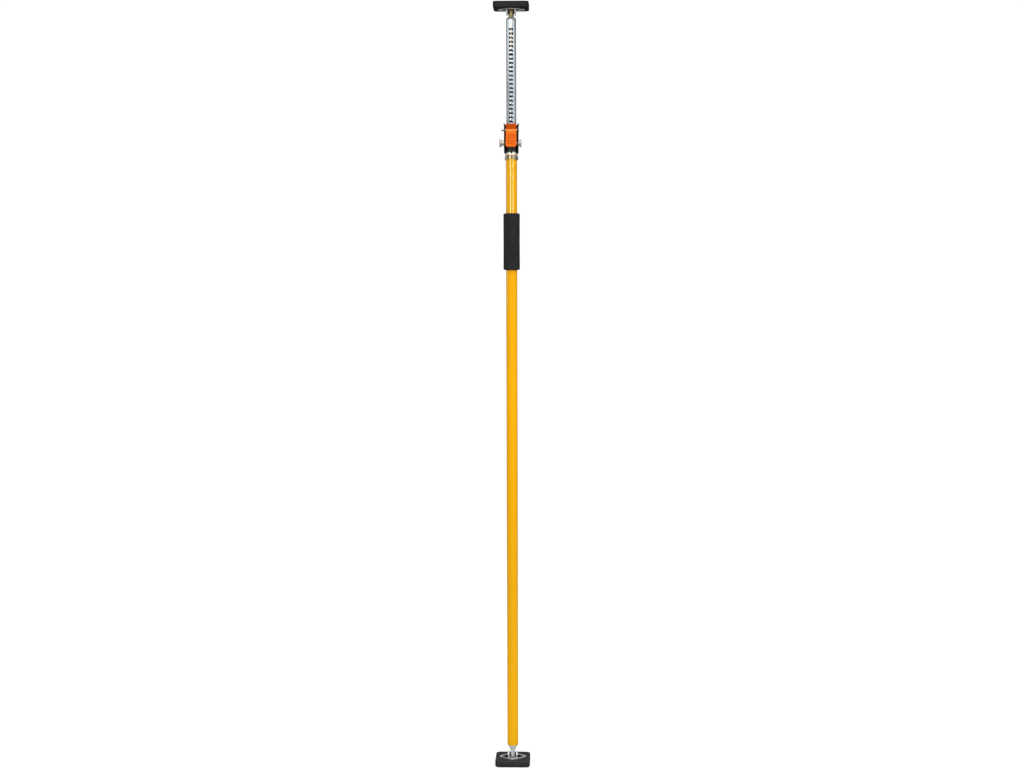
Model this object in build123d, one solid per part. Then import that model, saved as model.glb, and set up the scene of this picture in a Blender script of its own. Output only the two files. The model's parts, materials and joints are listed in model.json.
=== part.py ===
from build123d import *
import math
import os

os.makedirs("parts", exist_ok=True)

# Telescopic prop: a perforated tube that slides in a coated tube and is held by
# a lever-released pawl, with a tilting pad at each end.
# Millimetres. +Z up, origin on the floor under the middle of the foot pad,
# -Y is the front (slots and lever).

# ---------------------------------------------------------------- dimensions
# pads
PAD_X, PAD_Y, PAD_T = 78.5, 76.0, 14.0
PAD_CORNER = 10.0
PAD_HOLE_R = 2.25
PAD_HOLE_X, PAD_HOLE_Y = 27.0, 26.5
RECESS_X, RECESS_Y = 32.5, 27.5  # half diagonals of the eye-shaped recess
RECESS_FLOOR = 8.0
RING_WALL, RING_TOP = 2.1, 15.4

# U brackets
BR_W, BR_D, BR_WALL = 21.0, 24.0, 2.5
BR_TOP = 27.5
PIVOT = 19.0  # pivot pin above the sole of the pad
PIVOT_R = 3.0
RIVET_Y = 8.0

# coated outer tube
TUBE_R, TUBE_BORE = 12.5, 11.3
TUBE_Z0, TUBE_Z1 = 42.5, 1396.0
GRIP_R, GRIP_Z0, GRIP_Z1 = 18.5, 1127.0, 1253.0

# perforated inner tube
INNER_R, INNER_BORE = 11.0, 9.5
INNER_Z0, INNER_Z1 = 332.0, 1677.5
PITCH = 9.15
SLOT_W, SLOT_H, SLOT_R = 10.0, 5.0, 2.0
SLOT_TOP, SLOT_COUNT = 1656.0, 121

# lock head
HS_R, HS_WALL = 16.0, 2.5
HS_Z0, HS_SLEEVE_Z1, HS_Z1 = 1385.5, 1401.5, 1451.0
HS_FRONT = -18.5
LEVER_Y, LEVER_Z = -14.5, 1436.0  # lever pivot
LEVER_W = 23.6
LEVER_PIN_R = 2.5
SCREW_Y, SCREW_Z, SCREW_R = -14.2, 1407.0, 2.45  # clamp screw
PAWL_W, PAWL_Z0, PAWL_Z1, PAWL_TIP = 7.0, 1443.4, 1446.6, -9.3

# head end
HEAD_TOP = 1714.5
STEM_R, STEM_Z0 = 6.0, 1614.5
BUSH_TOP = 1682.5
STEM_PIN_Z = 1670.5


# ------------------------------------------------------------------- helpers
def box(x0, x1, y0, y1, z0, z1):
    return Pos((x0 + x1) / 2, (y0 + y1) / 2, (z0 + z1) / 2) * Box(
        x1 - x0, y1 - y0, z1 - z0
    )


def cyl_z(r, z0, z1, x=0.0, y=0.0):
    return Pos(x, y, (z0 + z1) / 2) * Cylinder(r, z1 - z0)


def cyl_x(r, x0, x1, y, z):
    return Pos((x0 + x1) / 2, y, z) * Rot(0, 90, 0) * Cylinder(r, x1 - x0)


def cyl_y(r, y0, y1, x, z):
    return Pos(x, (y0 + y1) / 2, z) * Rot(90, 0, 0) * Cylinder(r, y1 - y0)


def cone_z(r0, r1, z0, z1, x=0.0, y=0.0):
    return Pos(x, y, (z0 + z1) / 2) * Cone(r0, r1, z1 - z0)


def prism_x(points, x0, x1):
    face = make_face(Polyline(*[(x0, y, z) for y, z in points], close=True))
    return extrude(face, amount=x1 - x0, dir=(1, 0, 0))


def prism_y(points, y0, y1):
    face = make_face(Polyline(*[(x, y0, z) for x, z in points], close=True))
    return extrude(face, amount=y1 - y0, dir=(0, 1, 0))


def rod(p, q, r):
    p, q = Vector(*p), Vector(*q)
    d = q - p
    plane = Plane(origin=p, z_dir=d.normalized())
    return plane.location * Pos(0, 0, d.length / 2) * Cylinder(r, d.length)


def eye(grow, tip_r, side_r):
    """The pointed outline of the pad recess, grown outwards."""
    k = math.hypot(RECESS_X, RECESS_Y)
    gx, gy = grow * k / RECESS_Y, grow * k / RECESS_X
    a, b = RECESS_X + gx, RECESS_Y + gy
    sk = make_face(Polyline((a, 0), (0, b), (-a, 0), (0, -b), close=True))
    tips = [v for v in sk.vertices() if abs(v.Y) < 1e-6]
    sk = fillet(tips, tip_r)
    sides = [v for v in sk.vertices() if abs(v.X) < 1e-6]
    return fillet(sides, side_r)


def eye_solid(grow, tip_r, side_r, z0, z1):
    return Pos(0, 0, z0) * extrude(eye(grow, tip_r, side_r), amount=z1 - z0)


# -------------------------------------------------------- pad end (foot way up)
def make_pad():
    pad = extrude(RectangleRounded(PAD_X, PAD_Y, PAD_CORNER), amount=PAD_T)
    pad = fillet(pad.edges().group_by(Axis.Z)[-1], 1.8)
    pad = fillet(pad.edges().group_by(Axis.Z)[0], 1.0)
    # stepped eye-shaped recess for the rim and the bracket
    pad -= eye_solid(0.0, 4.0, 12.0, RECESS_FLOOR, PAD_T + 1)
    pad -= eye_solid(1.5, 5.5, 13.5, PAD_T - 2.0, PAD_T + 1)
    # moulded contour line round the recess
    line = eye_solid(4.6, 8.6, 16.6, PAD_T - 0.7, PAD_T + 1) - eye_solid(
        3.6, 7.6, 15.6, PAD_T - 1, PAD_T + 2
    )
    pad -= line
    for x in (-PAD_HOLE_X, PAD_HOLE_X):
        for y in (-PAD_HOLE_Y, PAD_HOLE_Y):
            pad -= cyl_z(PAD_HOLE_R, -1, PAD_T + 1, x, y)
            pad -= cone_z(PAD_HOLE_R, 4.0, PAD_T - 1.75, PAD_T + 0.001, x, y)
    # rivets of the bracket, sunk in the sole
    for y in (-RIVET_Y, RIVET_Y):
        pad -= cyl_z(2.02, -1, RECESS_FLOOR + 1, 0, y)
        pad -= cyl_z(4.5, -1, 3.2, 0, y)
    # tread grooves that stop short of the edges
    for y in (-16.5, 0.0, 16.5):
        pad -= Pos(0, y, -0.01) * extrude(SlotOverall(60, 2.6), amount=1.21)
    for y in (-31.0, 31.0):
        pad -= Pos(0, y, -0.01) * extrude(SlotOverall(42, 2.6), amount=1.21)
    return pad


def make_ring():
    g = -0.06
    outer = eye_solid(g, 4.0 + g, 12.0 + g, RECESS_FLOOR, RING_TOP)
    g2 = g - RING_WALL
    inner = eye_solid(g2, 4.0 + g2, 12.0 + g2, RECESS_FLOOR - 1, RING_TOP + 1)
    ring = outer - inner
    return fillet(ring.edges().group_by(Axis.Z)[-1], 0.45)


def make_bracket():
    z0 = RECESS_FLOOR
    h, d = BR_W / 2, BR_D / 2
    u = box(-h, h, -d, d, z0, BR_TOP)
    u -= box(-h + BR_WALL, h - BR_WALL, -d - 1, d + 1, z0 + BR_WALL, BR_TOP + 1)
    low = [
        e
        for e in u.edges().filter_by(Axis.Y)
        if abs(e.center().Z - z0) < 1e-6 and abs(abs(e.center().X) - h) < 1e-6
    ]
    u = fillet(low, 3.0)
    inner = [
        e
        for e in u.edges().filter_by(Axis.Y)
        if abs(e.center().Z - z0 - BR_WALL) < 1e-6
    ]
    u = fillet(inner, 0.8)
    tops = [
        e
        for e in u.edges().filter_by(Axis.X)
        if abs(e.center().Z - BR_TOP) < 1e-6 and abs(abs(e.center().Y) - d) < 1e-6
    ]
    u = fillet(tops, 9.0)
    u -= cyl_x(PIVOT_R + 0.02, -h - 1, h + 1, 0, PIVOT)
    for y in (-RIVET_Y, RIVET_Y):
        u -= cyl_z(2.02, z0 - 1, z0 + BR_WALL + 1, 0, y)
    return u


def make_rivets():
    out = None
    top = RECESS_FLOOR + BR_WALL
    for y in (-RIVET_Y, RIVET_Y):
        r = cyl_z(2.0, 1.6, top, 0, y) + cyl_z(4.2, 1.5, 3.2, 0, y)
        head = cyl_z(3.6, top, top + 1.5, 0, y)
        head = fillet(head.edges().group_by(Axis.Z)[-1], 1.2)
        r = r + head
        out = r if out is None else out + r
    return out


def make_pivot_pin():
    h = BR_W / 2
    pin = cyl_x(PIVOT_R, -h, h, 0, PIVOT)
    for s in (-1, 1):
        x0, x1 = (h, h + 0.9) if s > 0 else (-h - 0.9, -h)
        head = cyl_x(4.4, x0, x1, 0, PIVOT)
        edge = head.edges().sort_by(Axis.X)[-1 if s > 0 else 0]
        pin = pin + fillet(edge, 0.6)
    return pin


def make_spacers(stem_half):
    """The two washers that centre the stem between the ears."""
    a, b = stem_half + 0.1, BR_W / 2 - BR_WALL - 0.05
    out = None
    for s in (-1, 1):
        x0, x1 = (a, b) if s > 0 else (-b, -a)
        w = cyl_x(5.2, x0, x1, 0, PIVOT) - cyl_x(
            PIVOT_R + 0.03, x0 - 1, x1 + 1, 0, PIVOT
        )
        out = w if out is None else out + w
    return out


def at_head(shape):
    """Turns a foot-end piece over to the head end."""
    return Pos(0, 0, HEAD_TOP) * Rot(180, 0, 0) * shape


# ---------------------------------------------------------------- foot plug
TONGUE_R, TONGUE_HALF = 5.75, 4.5
PLUG_PIN_Z = 64.0
NECK_Z = 31.5  # where the tongue widens to the tube
foot_plug = cyl_z(11.25, TUBE_Z0, TUBE_Z0 + 45)
foot_plug += cone_z(TONGUE_R, 11.8, NECK_Z, TUBE_Z0 - 0.6)
foot_plug += cyl_z(11.8, TUBE_Z0 - 0.6, TUBE_Z0)
tongue = cyl_z(TONGUE_R, PIVOT - TONGUE_R, NECK_Z)
tongue &= box(-20, 20, -20, 20, PIVOT, 40) + cyl_x(TONGUE_R, -20, 20, 0, PIVOT)
for s in (-1, 1):
    x0, x1 = (TONGUE_HALF, 20) if s > 0 else (-20, -TONGUE_HALF)
    tongue -= box(x0, x1, -20, 20, 0, 28.6)
foot_plug += tongue
foot_plug -= cyl_x(PIVOT_R + 0.05, -20, 20, 0, PIVOT)
foot_plug -= cyl_z(8.0, TUBE_Z0 + 8, TUBE_Z0 + 46)
foot_plug -= cyl_x(2.02, -20, 20, 0, PLUG_PIN_Z)
foot_plug_pin = cyl_x(2.0, -12.4, 12.4, 0, PLUG_PIN_Z)

# --------------------------------------------------------------- outer tube
RIVET_TURN = 38.0  # housing rivets, degrees each side of the back
RIVET_Z = 1393.0


def rivet_at(turn, shape):
    """Turns a piece made along +X to a place on the back of the sleeve."""
    return Rot(0, 0, 90 + turn) * shape


outer_tube = cyl_z(TUBE_R, TUBE_Z0, TUBE_Z1) - cyl_z(
    TUBE_BORE, TUBE_Z0 - 1, TUBE_Z1 + 1
)
outer_tube -= cyl_x(2.02, -20, 20, 0, PLUG_PIN_Z)
for t in (-RIVET_TURN, RIVET_TURN):
    outer_tube -= rivet_at(t, cyl_x(2.02, 5, 20, 0, RIVET_Z))

foam_grip = cyl_z(GRIP_R, GRIP_Z0, GRIP_Z1)
foam_grip = fillet(foam_grip.edges(), 2.2)
foam_grip -= cyl_z(TUBE_R + 0.02, GRIP_Z0 - 1, GRIP_Z1 + 1)

# two chrome bands under the lock head; the lower one is arched in front and behind
tube_collar = cyl_z(14.8, 1369.9, 1379.6)
tube_collar = fillet(tube_collar.edges(), 0.7)
tube_collar -= cyl_z(TUBE_R + 0.03, 1360, 1396)
tube_collar -= cyl_y(28.0, -20, 20, 0, 1374.0 - 28.0)
collar_ring = cyl_z(14.4, 1381.4, 1389.0)
collar_ring = fillet(collar_ring.edges(), 0.7)
collar_ring -= cyl_z(TUBE_R + 0.03, 1360, 1396)

# -------------------------------------------------------------- lock housing
HS_IN = HS_R - HS_WALL


def channel(r, z0, z1):
    """A column with a round back and straight sides open to the front."""
    return cyl_z(r, z0, z1) + box(-r, r, HS_FRONT - 8, 0, z0, z1)


side = prism_x(
    [
        (HS_R + 1, 1386.0),
        (-9.0, 1386.0),
        (HS_FRONT, 1400.0),
        (HS_FRONT, 1444.0),
        (-16.0, HS_Z1),
        (2.0, HS_Z1),
        (8.0, HS_Z1 - 3.0),
        (HS_R + 1, HS_Z1 - 3.0),
    ],
    -HS_R - 5,
    HS_R + 5,
)
walls = channel(HS_R, 1386.0, HS_Z1) - channel(HS_IN, 1380.0, HS_Z1 + 1)
lock_housing = walls & side
sleeve = cyl_z(HS_R, HS_Z0, HS_SLEEVE_Z1)
lock_housing += sleeve
# saddle behind the inner tube, opposite the pawl
saddle = cyl_z(HS_IN + 0.5, 1439.0, 1447.5) & box(-20, 20, 3.0, 20, 1430, 1450)
lock_housing += saddle
# ears at the top of the cheeks, drawn out to a point
for s in (-1, 1):
    lock_housing += prism_y(
        [
            (s * (HS_R - 0.4), 1442.0),
            (s * HS_R, 1442.0),
            (s * (HS_R + 0.9), HS_Z1),
            (s * (HS_R - 0.4), HS_Z1),
        ],
        -16.0,
        2.0,
    )
    lock_housing -= prism_y(
        [
            (s * (HS_IN - 1), HS_Z1 - 2.4),
            (s * HS_IN, HS_Z1 - 2.4),
            (s * (HS_R - 0.5), HS_Z1),
            (s * (HS_R - 0.5), HS_Z1 + 6),
            (s * (HS_IN - 1), HS_Z1 + 6),
        ],
        HS_FRONT - 3,
        HS_R + 3,
    )
lock_housing -= cyl_z(TUBE_R + 0.03, 1380, 1400.5)
lock_housing -= cyl_z(11.4, 1390, 1402)
lock_housing -= cyl_z(11.08, 1402, HS_Z1 + 2)
lock_housing -= cyl_z(14.9, 1380, 1389.2)
# scalloped lower edge
for x in (-6.6, 6.6):
    lock_housing -= cyl_y(4.4, -20, 20, x, 1384.7)
# lever pin and clamp screw
lock_housing -= cyl_x(LEVER_PIN_R + 0.02, -20, 20, LEVER_Y, LEVER_Z)
lock_housing -= cyl_x(2.6, -20, 20, SCREW_Y, SCREW_Z)
for t in (-RIVET_TURN, RIVET_TURN):
    lock_housing -= rivet_at(t, cyl_x(2.02, 5, 20, 0, RIVET_Z))

housing_rivets = None
for t in (-RIVET_TURN, RIVET_TURN):
    head = cyl_x(3.6, 15.75, 17.2, 0, RIVET_Z)
    head = fillet(head.edges().sort_by(Axis.X)[-1], 1.1)
    rivet = rivet_at(t, cyl_x(2.0, 11.45, 16.5, 0, RIVET_Z) + head)
    housing_rivets = rivet if housing_rivets is None else housing_rivets + rivet
# the rivet heads sit on small flats
for t in (-RIVET_TURN, RIVET_TURN):
    lock_housing -= rivet_at(t, cyl_x(3.75, 15.74, 20, 0, RIVET_Z))

guide_bush = cyl_z(TUBE_R, TUBE_Z1 + 0.05, 1400.4) - cyl_z(
    INNER_R + 0.06, TUBE_Z1 - 1, 1402
)

# -------------------------------------------------------------- release lever
FACE_TOP = (0.0, -22.2, 1432.8)
FACE_RUN, FACE_DROP = 10.3, 33.3
FACE_L = math.hypot(FACE_RUN, FACE_DROP)
SA, CA = FACE_RUN / FACE_L, FACE_DROP / FACE_L
PLATE_T = 4.2
face_plane = Plane(origin=FACE_TOP, x_dir=(1, 0, 0), z_dir=(0, -CA, SA))

outline = Pos(0, (1.0 - FACE_L) / 2) * Rectangle(LEVER_W, FACE_L + 1.0)
outline = fillet(outline.vertices().group_by(Axis.Y)[0], 4.5)
plate = Pos(0, 0, -PLATE_T) * extrude(outline, amount=PLATE_T)
plate = fillet(plate.edges().group_by(Axis.Z)[-1], 1.0)
panel_z0, panel_z1 = -30.4, -7.4
panel = Pos(0, (panel_z0 + panel_z1) / 2, -1.2) * extrude(
    RectangleRounded(16.4, panel_z1 - panel_z0, 1.6), amount=3
)
plate -= panel
for k in range(5):
    v = panel_z0 + 2.8 + k * 4.6
    rib = Pos(0, v, -1.3) * extrude(RectangleRounded(15.0, 2.1, 0.9), amount=1.15)
    plate += fillet(rib.edges().group_by(Axis.Z)[-1], 0.5)
release_lever = face_plane.location * plate

W2 = LEVER_W / 2
release_lever += cyl_x(4.2, -W2, W2, LEVER_Y, LEVER_Z)
release_lever += prism_x(
    [(-14.5, 1440.7), (-17.3, 1440.7), (-18.9, 1439.6), (-20.9, 1435.4), (-20.6, 1430.8), (-14.5, 1431.0)],
    -W2,
    W2,
)
ridge = cyl_x(2.2, -W2 - 0.2, W2 + 0.2, -21.1, 1434.2)
ridge = fillet(ridge.edges(), 0.5)
release_lever += ridge
arm = prism_x(
    [(-12.4, 1437.0), (-15.6, 1437.0), (-18.2, 1450.0), (-12.4, 1450.0)], -11.4, 11.4
)
arm = fillet([e for e in arm.edges().filter_by(Axis.X) if e.center().Z > 1449], 0.9)
release_lever += arm
for s in (-1, 1):
    x0, x1 = (W2 - 2.1, W2) if s > 0 else (-W2, -W2 + 2.1)
    release_lever += prism_x(
        [
            (-15.0, 1433.0),
            (-20.5, 1434.0),
            (-28.6, 1409.0),
            (-26.4, 1406.8),
            (-17.0, 1425.0),
        ],
        x0,
        x1,
    )
release_lever -= cyl_x(LEVER_PIN_R + 0.05, -20, 20, LEVER_Y, LEVER_Z)
release_lever -= box(-5.6, 5.6, -17.95, -10, 1429.0, 1439.5)
release_lever -= box(
    -PAWL_W / 2, PAWL_W / 2, -16.0, -10, PAWL_Z0, PAWL_Z1
)

lever_pawl = box(-PAWL_W / 2, PAWL_W / 2, -16.0, PAWL_TIP, PAWL_Z0, PAWL_Z1)
lever_pawl = fillet(
    [e for e in lever_pawl.edges() if abs(e.center().Y - PAWL_TIP) < 1e-6], 0.4
)

# pivot pin with a flat head on the right and a clip at its long left end
lever_pin = cyl_x(LEVER_PIN_R, -21.4, 16.0, LEVER_Y, LEVER_Z)
head = cyl_x(4.0, 16.0, 17.3, LEVER_Y, LEVER_Z)
lever_pin += fillet(head.edges().sort_by(Axis.X)[-1], 0.5)
lever_pin -= cyl_x(5, -20.7, -19.7, LEVER_Y, LEVER_Z) - cyl_x(
    1.95, -21, -19, LEVER_Y, LEVER_Z
)
lever_pin_clip = cyl_x(4.1, -20.65, -19.75, LEVER_Y, LEVER_Z) - cyl_x(
    2.0, -21, -19, LEVER_Y, LEVER_Z
)
lever_pin_clip -= box(-22, -18, LEVER_Y - 1.3, LEVER_Y + 1.3, LEVER_Z - 6, LEVER_Z)

# torsion spring round the pin: one leg on the clamp screw, one on the lever
WIRE_R, COIL_R, COIL_L = 0.35, 2.93, 6.0
TURNS, LEAVE = 5, 204.8  # whole turns, then the angle where the second leg leaves
coil_turns = TURNS + LEAVE / 360.0
helix = Helix(
    pitch=COIL_L / coil_turns, height=COIL_L, radius=COIL_R, lefthand=True
)
coil = sweep(
    Plane(origin=helix @ 0, z_dir=helix % 0) * Circle(WIRE_R),
    path=helix,
    is_frenet=True,
)
coil_plane = Plane(
    origin=(-COIL_L / 2, LEVER_Y, LEVER_Z), x_dir=(0, -1, 0), z_dir=(1, 0, 0)
)
coil = coil_plane.location * coil
la = math.radians(LEAVE)
first = (-COIL_L / 2, LEVER_Y - COIL_R, LEVER_Z)
last = (COIL_L / 2, LEVER_Y - COIL_R * math.cos(la), LEVER_Z + COIL_R * math.sin(la))
LEG_R = WIRE_R + 0.06
LEG_A = (first[0], SCREW_Y - SCREW_R - LEG_R - 0.05, 1404.0)
LEG_B = (last[0], -23.2, 1412.0)
into_a = (first[0], first[1], first[2] + 0.5)
into_b = (last[0], last[1] - 0.5 * math.sin(la), last[2] - 0.5 * math.cos(la))
lever_spring = coil + rod(into_a, LEG_A, LEG_R) + rod(into_b, LEG_B, LEG_R)
release_lever -= rod(last, (LEG_B[0], LEG_B[1] - 0.19, LEG_B[2] - 0.4), 0.8)
# groove that clears the other leg when the lever is pressed
release_lever -= prism_x(
    [(-16.2, 1437.0), (-17.95, 1437.0), (-26.6, 1405.3), (-26.6, 1404.0), (-16.2, 1404.0)],
    LEG_A[0] - 0.8,
    LEG_A[0] + 0.8,
)


# --------------------------------------------------------------- clamp screw
def knurled(r, x0, x1, teeth):
    pts = []
    for i in range(teeth):
        for k, rr in ((0.0, r), (0.3, r), (0.5, r - 0.55), (0.8, r - 0.55)):
            a = 2 * math.pi * (i + k) / teeth
            pts.append((x0, SCREW_Y + rr * math.cos(a), SCREW_Z + rr * math.sin(a)))
    disc = extrude(
        make_face(Polyline(*pts, close=True)), amount=x1 - x0, dir=(1, 0, 0)
    )
    # turned chamfers at both rims
    w = x1 - x0
    barrel = Pos((x0 + x1) / 2, SCREW_Y, SCREW_Z) * Rot(0, 90, 0) * Cylinder(
        r + 0.01, w
    )
    barrel = chamfer(barrel.edges().filter_by(GeomType.CIRCLE), 0.7)
    return disc & barrel


clamp_screw = cyl_x(SCREW_R, -22.0, 22.2, SCREW_Y, SCREW_Z)
clamp_screw += knurled(9.0, -26.4, -21.0, 40)
neck = cyl_x(5.2, -21.2, -17.2, SCREW_Y, SCREW_Z)
clamp_screw += neck
clamp_screw -= cyl_x(5.0, -27.0, -25.8, SCREW_Y, SCREW_Z)

clamp_nut = knurled(8.75, 18.4, 22.7, 38)
clamp_nut += cyl_x(6.0, 17.2, 18.6, SCREW_Y, SCREW_Z)
clamp_nut -= cyl_x(SCREW_R + 0.05, 10, 30, SCREW_Y, SCREW_Z)

clamp_washers = None
for x0, x1 in ((-17.1, -16.05), (16.05, 17.1)):
    w = cyl_x(6.4, x0, x1, SCREW_Y, SCREW_Z) - cyl_x(
        2.62, x0 - 1, x1 + 1, SCREW_Y, SCREW_Z
    )
    clamp_washers = w if clamp_washers is None else clamp_washers + w

# ---------------------------------------------------------------- inner tube
inner_tube = cyl_z(INNER_R, INNER_Z0, INNER_Z1) - cyl_z(
    INNER_BORE, INNER_Z0 - 1, INNER_Z1 + 1
)
slot_face = Plane(origin=(0, -13, 0), x_dir=(1, 0, 0), z_dir=(0, 1, 0)) * (
    RectangleRounded(SLOT_W, SLOT_H, SLOT_R)
)
slot = extrude(slot_face, amount=8.0, dir=(0, 1, 0))
slots = [Pos(0, 0, SLOT_TOP - PITCH * k) * slot for k in range(SLOT_COUNT)]
inner_tube -= slots
inner_tube -= cyl_x(2.02, -20, 20, 0, STEM_PIN_Z)

inner_glide = cyl_z(11.24, INNER_Z0 - 14, INNER_Z0)
inner_glide = fillet(inner_glide.edges().group_by(Axis.Z)[0], 1.2)
inner_glide += cyl_z(INNER_BORE - 0.03, INNER_Z0, INNER_Z0 + 25)
inner_glide -= cyl_z(7.0, INNER_Z0 - 20, INNER_Z0 + 30)

# ------------------------------------------------------------------ head end
HEAD_PIVOT = HEAD_TOP - PIVOT
top_bush = cyl_z(INNER_BORE - 0.03, INNER_Z1 - 15, INNER_Z1)
top_bush += cyl_z(INNER_R, INNER_Z1 + 0.0, INNER_Z1 + 1.2)
top_bush += cone_z(INNER_R, 8.9, INNER_Z1 + 1.2, BUSH_TOP)
top_bush -= cyl_z(STEM_R + 0.02, INNER_Z1 - 20, BUSH_TOP + 5)
top_bush -= cyl_x(2.02, -20, 20, 0, STEM_PIN_Z)

head_stem = cyl_z(STEM_R, STEM_Z0, HEAD_PIVOT + STEM_R)
head_stem &= box(-20, 20, -20, 20, 1500, HEAD_PIVOT) + cyl_x(
    STEM_R, -20, 20, 0, HEAD_PIVOT
)
HEAD_HALF = 5.7
for s in (-1, 1):
    x0, x1 = (HEAD_HALF, 20) if s > 0 else (-20, -HEAD_HALF)
    head_stem -= cyl_x(5.4, x0, x1, 0, HEAD_PIVOT)
head_stem += cyl_z(4.0, STEM_Z0 - 8, STEM_Z0)
head_stem -= cyl_x(PIVOT_R + 0.05, -20, 20, 0, HEAD_PIVOT)
head_stem -= cyl_x(2.02, -20, 20, 0, STEM_PIN_Z)
head_stem_pin = cyl_x(2.0, -10.9, 10.9, 0, STEM_PIN_Z)

stem_end_plug = cyl_z(INNER_BORE - 0.05, STEM_Z0 - 10.0, STEM_Z0 - 0.02)
stem_end_plug -= cyl_z(4.02, STEM_Z0 - 8.1, STEM_Z0 + 1)

# -------------------------------------------------------------------- export
NODES = {
    "foot_pad": make_pad(),
    "foot_ring": make_ring(),
    "foot_bracket": make_bracket(),
    "foot_bracket_rivets": make_rivets(),
    "foot_pivot_pin": make_pivot_pin(),
    "foot_spacers": make_spacers(TONGUE_HALF),
    "foot_plug": foot_plug,
    "foot_plug_pin": foot_plug_pin,
    "outer_tube": outer_tube,
    "foam_grip": foam_grip,
    "tube_collar": tube_collar,
    "collar_ring": collar_ring,
    "lock_housing": lock_housing,
    "housing_rivets": housing_rivets,
    "guide_bush": guide_bush,
    "release_lever": release_lever,
    "lever_pawl": lever_pawl,
    "lever_pin": lever_pin,
    "lever_pin_clip": lever_pin_clip,
    "lever_spring": lever_spring,
    "clamp_screw": clamp_screw,
    "clamp_nut": clamp_nut,
    "clamp_washers": clamp_washers,
    "inner_tube": inner_tube,
    "inner_glide": inner_glide,
    "top_bush": top_bush,
    "head_stem": head_stem,
    "head_stem_pin": head_stem_pin,
    "stem_end_plug": stem_end_plug,
    "head_bracket": at_head(make_bracket()),
    "head_bracket_rivets": at_head(make_rivets()),
    "head_pivot_pin": at_head(make_pivot_pin()),
    "head_spacers": at_head(make_spacers(HEAD_HALF)),
    "head_pad": at_head(make_pad()),
    "head_ring": at_head(make_ring()),
}

for name, shape in NODES.items():
    export_step(shape, f"parts/{name}.step")
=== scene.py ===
import json
import math

import bmesh
import bpy
from mathutils import Matrix, Vector, noise

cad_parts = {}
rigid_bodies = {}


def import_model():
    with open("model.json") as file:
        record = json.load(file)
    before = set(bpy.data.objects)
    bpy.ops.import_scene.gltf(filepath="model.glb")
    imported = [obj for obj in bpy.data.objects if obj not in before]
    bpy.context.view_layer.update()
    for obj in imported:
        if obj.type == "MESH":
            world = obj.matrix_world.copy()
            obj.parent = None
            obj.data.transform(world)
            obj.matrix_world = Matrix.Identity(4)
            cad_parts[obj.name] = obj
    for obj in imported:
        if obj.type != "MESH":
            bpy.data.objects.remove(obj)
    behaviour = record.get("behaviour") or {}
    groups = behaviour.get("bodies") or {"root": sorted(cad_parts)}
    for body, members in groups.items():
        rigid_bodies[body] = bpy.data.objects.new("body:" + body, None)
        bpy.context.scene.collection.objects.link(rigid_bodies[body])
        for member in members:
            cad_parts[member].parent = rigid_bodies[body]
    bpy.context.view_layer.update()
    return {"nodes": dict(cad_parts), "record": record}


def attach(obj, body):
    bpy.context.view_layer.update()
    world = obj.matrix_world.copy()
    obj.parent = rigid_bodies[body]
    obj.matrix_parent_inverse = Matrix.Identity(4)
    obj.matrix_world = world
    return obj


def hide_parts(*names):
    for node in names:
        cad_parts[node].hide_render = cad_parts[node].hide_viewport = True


for leftover in list(bpy.data.objects):
    bpy.data.objects.remove(leftover, do_unlink=True)
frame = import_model()
SCENE = bpy.context.scene
NODES = frame["nodes"]
MM = 0.001

# ------------------------------------------------------------------ dimensions
# the same ones as the construction, in millimetres
TUBE_R, TUBE_BORE, TUBE_Z0, TUBE_Z1 = 12.5, 11.3, 42.5, 1396.0
GRIP_R, GRIP_Z0, GRIP_Z1 = 18.5, 1127.0, 1253.0
INNER_R, INNER_BORE, INNER_Z0, INNER_Z1 = 11.0, 9.5, 332.0, 1677.5
STEM_PIN_Z = 1670.5
PITCH, SLOT_TOP, SLOT_COUNT = 9.15, 1656.0, 121
SLOT_W, SLOT_H, SLOT_R = 10.0, 5.0, 2.0
PIN_HOLE_R = 2.02
LEVER_Y, LEVER_Z = -14.5, 1436.0
WIRE_R, COIL_R, COIL_L, COIL_TURNS, COIL_LEAVE = 0.35, 2.93, 6.0, 5, 204.8
LEG_A_Y, LEG_A_Z = -17.11, 1404.0
LEG_B_Y, LEG_B_Z = -23.2, 1412.0


# ------------------------------------------------------------------ mesh tools
class Shell:
    """Collects points in millimetres and faces; equal points are shared."""

    def __init__(self):
        self.points, self.faces, self.index, self.marks = [], [], {}, {}

    def at(self, x, y, z, mark=0.0):
        key = (round(x * 1e4), round(y * 1e4), round(z * 1e4))
        if key not in self.index:
            self.index[key] = len(self.points)
            self.points.append((x * MM, y * MM, z * MM))
        if mark:
            self.marks[self.index[key]] = mark
        return self.index[key]

    def polar(self, r, a, z, mark=0.0):
        return self.at(r * math.cos(a), r * math.sin(a), z, mark)

    def face(self, *ids):
        clean = [i for k, i in enumerate(ids) if i != ids[k - 1]]
        if len(clean) > 2:
            self.faces.append(clean)

    def strip(self, one, two, closed=True):
        n = len(one)
        for i in range(n if closed else n - 1):
            j = (i + 1) % n
            self.face(one[i], one[j], two[j], two[i])

    def make(self, name, sharp=None):
        me = bpy.data.meshes.new(name)
        me.from_pydata(self.points, [], self.faces)
        bm = bmesh.new()
        bm.from_mesh(me)
        bmesh.ops.recalc_face_normals(bm, faces=bm.faces)
        bm.to_mesh(me)
        bm.free()
        me.polygons.foreach_set("use_smooth", [True] * len(me.polygons))
        if sharp:
            me.set_sharp_from_angle(angle=math.radians(sharp))
        if self.marks:
            mark = me.attributes.new("worn_edge", "FLOAT", "POINT")
            values = [0.0] * len(me.vertices)
            for i, v in self.marks.items():
                values[i] = v
            mark.data.foreach_set("value", values)
        me.update()
        ob = bpy.data.objects.new(name, me)
        SCENE.collection.objects.link(ob)
        return ob


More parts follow.
